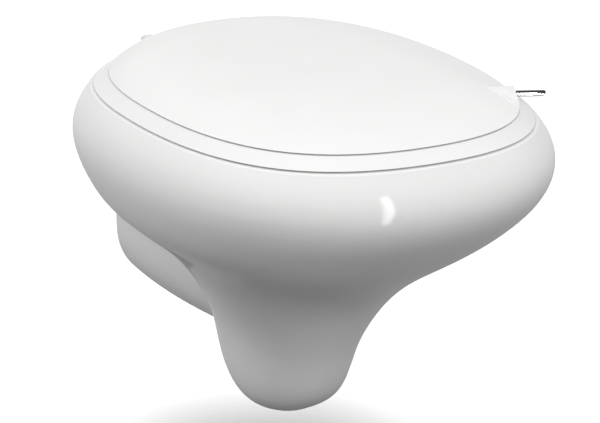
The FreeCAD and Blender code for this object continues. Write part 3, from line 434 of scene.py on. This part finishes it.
class TOILET_OT_seat(bpy.types.Operator):
    """Finish the seat ring, the lid and their buffers"""

    bl_idname = "toilet.seat"
    bl_label = "Finish seat and lid"

    def execute(self, context):
        plastic = moulded("seat_plastic_gloss", context.scene.toilet_finish.seat, smooth=0.1, rough=0.14,
                          coat=COAT)
        soft = moulded("buffer_rubber_pale", (0.7, 0.7, 0.69), smooth=0.45, rough=0.6, depth=BUFFER_RELIEF)
        for name in ("seat_ring", "lid"):
            paint(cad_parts[name], plastic)
        for name in ("seat_buffers", "lid_buffers"):
            paint(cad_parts[name], soft)
        return {"FINISHED"}


class TOILET_OT_fittings(bpy.types.Operator):
    """Finish the hinges, the fixings and the seals"""

    bl_idname = "toilet.fittings"
    bl_label = "Finish the fittings"

    def execute(self, context):
        steel = metal("stainless_brushed", (0.56, 0.56, 0.57), smooth=0.22, rough=0.38, stretch=(1, 1, 12))
        turned = metal("stainless_turned", (0.58, 0.58, 0.59), smooth=0.16, rough=0.3, stretch=(14, 1, 1))
        brass = metal("brass_turned", (0.66, 0.46, 0.18), smooth=0.2, rough=0.34, stretch=(6, 1, 1))
        grey = moulded("barrel_plastic_grey", (0.34, 0.35, 0.37), smooth=0.35, rough=0.5)
        rubber = moulded("seal_rubber_black", (0.028, 0.028, 0.03), smooth=0.5, rough=0.7, dark=0.8)
        white = moulded("hinge_lacquer_white", (0.84, 0.84, 0.835), smooth=0.2, rough=0.3)
        pale = bpy.data.materials["buffer_rubber_pale"]
        looks = {
            white: ("hinge_base_left", "hinge_base_right"),
            pale: ("hinge_gaskets",),
            steel: ("hinge_washers", "fixing_washers", "fixing_nuts"),
            turned: ("hinge_pin_left", "hinge_pin_right", "hinge_bolts"),
            brass: ("pin_insert",),
            grey: ("seat_damper", "seat_bush", "lid_damper", "lid_bush", "hinge_cones", "fixing_sleeves"),
            rubber: ("inlet_seal", "hinge_sleeves"),
        }
        for material, names in looks.items():
            for name in names:
                paint(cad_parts[name], material)
        return {"FINISHED"}


PIN_SIDES = 48
NOSE_STEPS = 6
NOSE_FLAT = 0.5  # of a step, left flat at the tip
CHROME = (0.72, 0.72, 0.74)

# the flat facet on the pin's boss: how far from the pin's root it lies at most, the least upward part
# of its normal, the grid on which equal normals fall together, and how near to the root, along the
# pin, its outer corners lie
FACET_REACH = 0.035
FACET_RISE = 0.9
FACET_GRID = 0.004
FACET_END = 0.0006

# the plate on the facet: the share that it covers, its clearance, and the bevel of its edges
PLATE_SHARE = 0.97
PLATE_CLEARANCE = 0.00002
PLATE_BEVEL = 0.00012


def pin_axis(pin):
    """Where the pin leaves the lid, and its level direction, from the rings at its node's two ends."""
    points = [vertex.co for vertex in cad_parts["lift_pin"].data.vertices]
    low = min(p.x for p in points)
    high = max(p.x for p in points)
    stem = [p for p in points if p.x < low + pin.stem_radius]
    tip = [p for p in points if p.x > high - pin.radius]
    stem_end = sum(stem, Vector()) / len(stem)
    way = sum(tip, Vector()) / len(tip) - stem_end
    way.z = 0
    way.normalize()
    return stem_end + way * pin.stem_length, way


def pin_profile(pin):
    """Places along the pin and its radius there: stem, shank, ring groove and rounded tip."""
    groove = pin.length - pin.groove_place
    neck = pin.radius - pin.groove_depth
    rows = [(-pin.stem_length, pin.stem_radius), (0, pin.stem_radius),
            (0, pin.radius - pin.edge), (pin.edge, pin.radius),
            (groove - pin.groove_width, pin.radius), (groove - pin.groove_width, neck),
            (groove, neck), (groove, pin.radius)]
    for step in range(NOSE_STEPS + 1):
        turn = math.pi / 2 * step / (NOSE_STEPS + NOSE_FLAT)
        rows.append((pin.length - pin.nose + pin.nose * math.sin(turn), pin.radius * math.cos(turn)))
    return rows


def boss_facet(lid, root, way):
    """Three corners of the largest flat facet beside the pin's root, and its upward normal."""
    planes = {}
    for face in lid.data.polygons:
        if (face.center - root).length < FACET_REACH and face.normal.z > FACET_RISE:
            key = tuple(round(value / FACET_GRID) for value in face.normal)
            planes.setdefault(key, []).append(face)
    faces = max(planes.values(), key=lambda group: sum(face.area for face in group))
    corners = [lid.data.vertices[i].co.copy() for face in faces for i in face.vertices]
    side = way.cross(Vector((0, 0, 1)))
    inner = min(corners, key=lambda p: (p - root).dot(way))
    ends = [p for p in corners if abs((p - root).dot(way)) < FACET_END]
    first = min(ends, key=lambda p: p.dot(side))
    last = max(ends, key=lambda p: p.dot(side))
    return [inner, first, last], faces[0].normal.copy()


class TOILET_OT_lift_pin(bpy.types.Operator):
    """Turn the chrome lift pin"""

    bl_idname = "toilet.lift_pin"
    bl_label = "Make the lift pin"

    def execute(self, context):
        pin = context.scene.toilet_pin
        root, way = pin_axis(pin)
        piece = turned_piece("lift_pin_turned", pin_profile(pin), PIN_SIDES, root, way)
        smooth(piece)
        chrome = metal("chrome_polished", CHROME, smooth=0.03, rough=0.06, stretch=(1, 1, 1), scale=120.0)
        paint(piece, chrome)
        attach(piece, "lid")
        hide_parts("lift_pin")
        return {"FINISHED"}


class TOILET_OT_pin_facet(bpy.types.Operator):
    """Lay the crisp facet on the lift pin's boss"""

    bl_idname = "toilet.pin_facet"
    bl_label = "Lay the pin's facet"

    def execute(self, context):
        pin = context.scene.toilet_pin
        root, way = pin_axis(pin)
        corners, up = boss_facet(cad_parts["lid"], root, way)
        bpy.ops.object.select_all(action="DESELECT")
        bpy.ops.mesh.primitive_circle_add(vertices=3, radius=FACET_REACH, fill_type="NGON")
        plate = use_only(bpy.context.object)
        plate.name = "pin_boss_facet"
        middle = sum(corners, Vector()) / len(corners)
        for vertex, corner in zip(plate.data.vertices, corners):
            vertex.co = middle + (corner - middle) * PLATE_SHARE + up * PLATE_CLEARANCE
        bpy.ops.object.mode_set(mode="EDIT")
        bpy.ops.mesh.select_all(action="SELECT")
        bpy.ops.mesh.extrude_region_move(TRANSFORM_OT_translate={"value": up * pin.facet_thick})
        bpy.ops.mesh.select_all(action="SELECT")
        bpy.ops.mesh.bevel(offset=PLATE_BEVEL, segments=2, affect="EDGES")
        bpy.ops.mesh.select_all(action="SELECT")
        bpy.ops.mesh.normals_make_consistent(inside=False)
        bpy.ops.object.mode_set(mode="OBJECT")
        smooth(plate)
        paint(plate, bpy.data.materials["seat_plastic_gloss"])
        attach(plate, "lid")
        return {"FINISHED"}


# the floor: what the camera sees of it, what it gives back to the object, and the glow that lifts it, which
# is left out near the pan and so paints shade there
FLOOR_WHITE = 0.8
FLOOR_BOUNCE = 0.15
FLOOR_LIFT = 0.6

# from the middle of the pan, in halves of its box: where the lift fades in; nearer the pan the floor has no
# glow, which is painted shade
PAINTED_SHADE_SPAN = (0.55, 1.15)

# height of a direction, from low to high, and the strength of the room at each end
ROOM_RAMP = ((-0.05, 0.85), 0.12, 1.2)
MIRROR_RAMP = ((0.0, 0.16), 1.0, 0.09)

SEAT_MIDDLE = (0, -0.3, 0.11)
SENSOR_WIDTH = 36.0

LAMP_AIM = (0, -0.35, 0.05)

# name, place, width and height in metres, watts, and whether glossy surfaces show it
LAMPS = (
    ("key_front", (0.7, -2.7, 1.3), (1.6, 1.6), 18, False),
    ("fill_left", (-1.9, 0.9, 1.3), (1.2, 1.2), 15, False),
    ("fill_front", (-1.3, -2.3, 1.0), (1.0, 1.0), 13, False),
    ("strip_window", (-0.008, -1.09, 0.057), (0.046, 0.66), 4.0, True),
)


def add_area_lamp(name, place, size, watts, in_mirror):
    """Rectangular lamp; one in mirrors gives glossy surfaces its image, and nothing else any light."""
    lamp = bpy.data.lights.new(name, "AREA")
    lamp.shape = "RECTANGLE"
    lamp.size, lamp.size_y = size
    lamp.energy = watts
    obj = bpy.data.objects.new(name, lamp)
    bpy.context.scene.collection.objects.link(obj)
    obj.location = place
    aim = Vector((place[0], LAMP_AIM[1], place[2])) if in_mirror else Vector(LAMP_AIM)
    obj.rotation_euler = (aim - Vector(place)).to_track_quat("-Z", "Y").to_euler()
    obj.visible_camera = False
    obj.visible_glossy = in_mirror
    obj.visible_diffuse = not in_mirror
    return obj


def clear_ray(tree):
    """1 for camera, glossy and transmission rays, which see the pale stage."""
    path = tree.nodes.new("ShaderNodeLightPath")
    total = path.outputs["Is Camera Ray"]
    for name in ("Is Glossy Ray", "Is Transmission Ray"):
        top = tree.nodes.new("ShaderNodeMath")
        top.operation = "MAXIMUM"
        tree.links.new(total, top.inputs[0])
        tree.links.new(path.outputs[name], top.inputs[1])
        total = top.outputs[0]
    return total


class TOILET_OT_stage(bpy.types.Operator):
    """Set up the floor, the light and the camera"""

    bl_idname = "toilet.stage"
    bl_label = "Set the stage"

    def execute(self, context):
        stage = context.scene.toilet_stage
        self.lay_floor(stage)
        self.light()
        self.place_camera(context, stage)
        return {"FINISHED"}

    def lay_floor(self, stage):
        """White floor, darker under the pan from its cast shadow and from painted shade, that gives little
        light back to it.
        """
        floor = new_plane("stage_floor", stage.floor_width, (0, 0, -stage.floor_drop))
        material = bpy.data.materials.new("stage_floor_white")
        material.use_nodes = True
        tree = material.node_tree
        tree.nodes.clear()
        out = tree.nodes.new("ShaderNodeOutputMaterial")
        choose = tree.nodes.new("ShaderNodeMixShader")
        seen = tree.nodes.new("ShaderNodeAddShader")
        pale = tree.nodes.new("ShaderNodeBsdfDiffuse")
        pale.inputs["Color"].default_value = opaque([FLOOR_WHITE] * 3)
        glow = tree.nodes.new("ShaderNodeEmission")
        # painted shade: the glow fades out towards the pan
        tree.links.new(self.floor_glow_with_painted_shade(tree, stage), glow.inputs["Strength"])
        dim = tree.nodes.new("ShaderNodeBsdfDiffuse")
        dim.inputs["Color"].default_value = opaque([FLOOR_BOUNCE] * 3)
        tree.links.new(pale.outputs[0], seen.inputs[0])
        tree.links.new(glow.outputs[0], seen.inputs[1])
        tree.links.new(clear_ray(tree), choose.inputs["Fac"])
        tree.links.new(dim.outputs[0], choose.inputs[1])
        tree.links.new(seen.outputs[0], choose.inputs[2])
        tree.links.new(choose.outputs[0], out.inputs["Surface"])
        paint(floor, material)

    def floor_glow_with_painted_shade(self, tree, stage):
        """Strength of the floor's glow, which fades out near the pan and so paints shade under it, also in
        reflections.
        """
        low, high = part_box("pan")
        middle = (Vector(low) + Vector(high)) / 2
        reach = (Vector(high) - Vector(low)) / 2
        place = tree.nodes.new("ShaderNodeTexCoord").outputs["Object"]
        shift = tree.nodes.new("ShaderNodeVectorMath")
        shift.operation = "SUBTRACT"
        shift.inputs[1].default_value = (middle.x, middle.y, -stage.floor_drop)
        tree.links.new(place, shift.inputs[0])
        shares = tree.nodes.new("ShaderNodeVectorMath")
        shares.operation = "DIVIDE"
        shares.inputs[1].default_value = (reach.x, reach.y, 1)
        tree.links.new(shift.outputs["Vector"], shares.inputs[0])
        away = tree.nodes.new("ShaderNodeVectorMath")
        away.operation = "LENGTH"
        tree.links.new(shares.outputs["Vector"], away.inputs[0])
        return map_range(tree, away.outputs["Value"], PAINTED_SHADE_SPAN, 0.0, FLOOR_LIFT)

    def light(self):
        """The room, with its own strength as light, in mirrors and as the white background, and lamps."""
        world = bpy.data.worlds.new("studio")
        bpy.context.scene.world = world
        world.use_nodes = True
        tree = world.node_tree
        tree.nodes.clear()
        out = tree.nodes.new("ShaderNodeOutputWorld")
        way = tree.nodes.new("ShaderNodeTexCoord").outputs["Generated"]
        split = tree.nodes.new("ShaderNodeSeparateXYZ")
        tree.links.new(way, split.inputs["Vector"])
        room = tree.nodes.new("ShaderNodeBackground")
        tree.links.new(map_range(tree, split.outputs["Z"], *ROOM_RAMP), room.inputs["Strength"])
        mirror = tree.nodes.new("ShaderNodeBackground")
        tree.links.new(map_range(tree, split.outputs["Z"], *MIRROR_RAMP), mirror.inputs["Strength"])
        white = tree.nodes.new("ShaderNodeBackground")
        path = tree.nodes.new("ShaderNodeLightPath")
        reflected = tree.nodes.new("ShaderNodeMixShader")
        tree.links.new(path.outputs["Is Glossy Ray"], reflected.inputs["Fac"])
        tree.links.new(room.outputs[0], reflected.inputs[1])
        tree.links.new(mirror.outputs[0], reflected.inputs[2])
        choose = tree.nodes.new("ShaderNodeMixShader")
        tree.links.new(path.outputs["Is Camera Ray"], choose.inputs["Fac"])
        tree.links.new(reflected.outputs[0], choose.inputs[1])
        tree.links.new(white.outputs[0], choose.inputs[2])
        tree.links.new(choose.outputs[0], out.inputs["Surface"])
        for name, place, size, watts, in_mirror in LAMPS:
            add_area_lamp(name, place, size, watts, in_mirror)

    def place_camera(self, context, stage):
        """Camera at the photograph's angle, which looks a little below the middle of the seat."""
        camera = bpy.data.cameras.new("photo_camera")
        camera.lens = stage.lens
        camera.sensor_width = SENSOR_WIDTH
        obj = bpy.data.objects.new("photo_camera", camera)
        context.scene.collection.objects.link(obj)
        back = Euler((math.pi / 2 - stage.elevation, 0, stage.azimuth)).to_matrix() @ Vector((0, 0, 1))
        obj.location = Vector(SEAT_MIDDLE) + back * stage.distance
        obj.rotation_euler = (math.pi / 2 - stage.elevation - stage.lowered, 0, stage.azimuth)
        context.scene.camera = obj
        context.scene.view_settings.view_transform = "Standard"


class TOILET_PT_panel(bpy.types.Panel):
    """Sizes, colours and steps of the toilet"""

    bl_label = "Wall hung toilet"
    bl_idname = "TOILET_PT_panel"
    bl_space_type = "VIEW_3D"
    bl_region_type = "UI"
    bl_category = "Toilet"

    def draw(self, context):
        layout = self.layout
        for step in STEPS:
            layout.operator(step.bl_idname)
        for group in (context.scene.toilet_finish, context.scene.toilet_pin, context.scene.toilet_stage):
            box = layout.box()
            for name in group.__annotations__:
                box.prop(group, name)


STEPS = (TOILET_OT_china, TOILET_OT_seat, TOILET_OT_lift_pin, TOILET_OT_pin_facet,
         TOILET_OT_fittings, TOILET_OT_stage)
CLASSES = (ToiletFinish, ToiletPin, ToiletStage) + STEPS + (TOILET_PT_panel,)


def register():
    for item in CLASSES:
        bpy.utils.register_class(item)
    bpy.types.Scene.toilet_finish = bpy.props.PointerProperty(type=ToiletFinish)
    bpy.types.Scene.toilet_pin = bpy.props.PointerProperty(type=ToiletPin)
    bpy.types.Scene.toilet_stage = bpy.props.PointerProperty(type=ToiletStage)


def unregister():
    del bpy.types.Scene.toilet_stage
    del bpy.types.Scene.toilet_pin
    del bpy.types.Scene.toilet_finish
    for item in reversed(CLASSES):
        bpy.utils.unregister_class(item)


def main():
    register()
    bpy.ops.toilet.china()
    bpy.ops.toilet.seat()
    bpy.ops.toilet.lift_pin()
    bpy.ops.toilet.pin_facet()
    bpy.ops.toilet.fittings()
    bpy.ops.toilet.stage()


if __name__ == "__main__":
    main()
